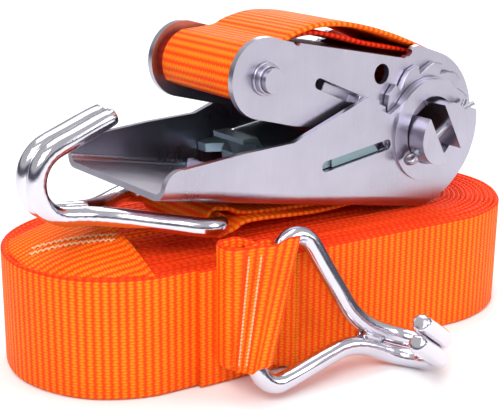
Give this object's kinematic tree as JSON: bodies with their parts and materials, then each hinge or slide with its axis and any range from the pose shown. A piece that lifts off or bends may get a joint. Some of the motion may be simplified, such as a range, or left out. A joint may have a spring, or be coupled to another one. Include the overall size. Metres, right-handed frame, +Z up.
{
  "type": "ratchet tie down strap",
  "caption": "Ratchet tie-down set: rolled webbing strap, folded ratchet with slotted drum and handle, and two wire claw hooks.",
  "frame": {"origin": "under the middle of the whole set, on the surface that the rolled strap stands on", "axes": "+X from the grip end of the handle towards the drum, +Y along the drum axis away from the front hook, +Z up"},
  "size_m": [0.2436, 0.1683, 0.1381],
  "materials": {
    "webbing": "woven polyester",
    "webbing_end": "woven polyester with zigzag stitching",
    "zinc": "bright zinc plated steel",
    "wire": "bright zinc plated wire",
    "teal": "zinc plated, blue-grey",
    "dark": "plain steel"
  },
  "bodies": {
    "long_strap": {"long_strap_roll": "webbing", "long_strap_loop": "webbing", "long_strap_end": "webbing_end"},
    "front_hook": {"front_hook": "wire", "front_hook_weld": "wire"},
    "handle": {"handle": "zinc", "handle_pawl_spring": "dark", "short_strap_tail": "webbing", "short_strap_bend": "webbing"},
    "handle_pawl": {"handle_pawl": "teal"},
    "short_hook": {"short_hook": "wire", "short_hook_weld": "wire"},
    "frame": {"frame": "zinc", "frame_pawl_spring": "dark", "anchor_bolt": "zinc", "anchor_nut": "zinc", "anchor_washers": "zinc", "anchor_sleeve": "zinc", "short_strap_wrap": "webbing"},
    "frame_pawl": {"frame_pawl": "zinc"},
    "drum": {"drum_half_upper": "zinc", "drum_half_lower": "zinc", "ratchet_wheel_near": "zinc", "ratchet_wheel_far": "zinc", "cotter_pin_near": "dark", "cotter_pin_far": "dark"}
  },
  "joints": [
    {"name": "ratchet_lift", "type": "slide", "parent": "long_strap", "child": "handle", "axis": [0, 0, 1], "range_m": [0, 0.15]},
    {"name": "frame_hinge", "type": "hinge", "parent": "handle", "child": "frame", "pos_m": [0.0637, 0.0215, 0.087], "axis": [0, 1, 0], "range_deg": [0, 150], "deforming": ["short_strap_bend"]},
    {"name": "drum_spin", "type": "hinge", "parent": "frame", "child": "drum", "pos_m": [0.0637, 0.0215, 0.087], "axis": [0, 1, 0], "continuous": true},
    {"name": "frame_pawl_slide", "type": "slide", "parent": "frame", "child": "frame_pawl", "axis": [-0.915, 0, 0.4035], "range_m": [0, 0.0055], "stiffness_N_per_m": 600, "springref_m": -0.005, "deforming": ["frame_pawl_spring"]},
    {"name": "handle_pawl_slide", "type": "slide", "parent": "handle", "child": "handle_pawl", "axis": [-0.9942, 0, -0.108], "range_m": [-0.004, 0.003], "stiffness_N_per_m": 600, "springref_m": -0.009, "deforming": ["handle_pawl_spring"]},
    {"name": "short_hook_swing", "type": "hinge", "parent": "handle", "child": "short_hook", "pos_m": [-0.0461, 0.0215, 0.0623], "axis": [0, 1, 0], "range_deg": [0, 3]},
    {"name": "front_hook_swing", "type": "hinge", "parent": "long_strap", "child": "front_hook", "pos_m": [-0.04587, -0.03358, 0.0375], "axis": [-0.4798, -0.2531, -0.8401], "range_deg": [0, 100]}
  ]
}
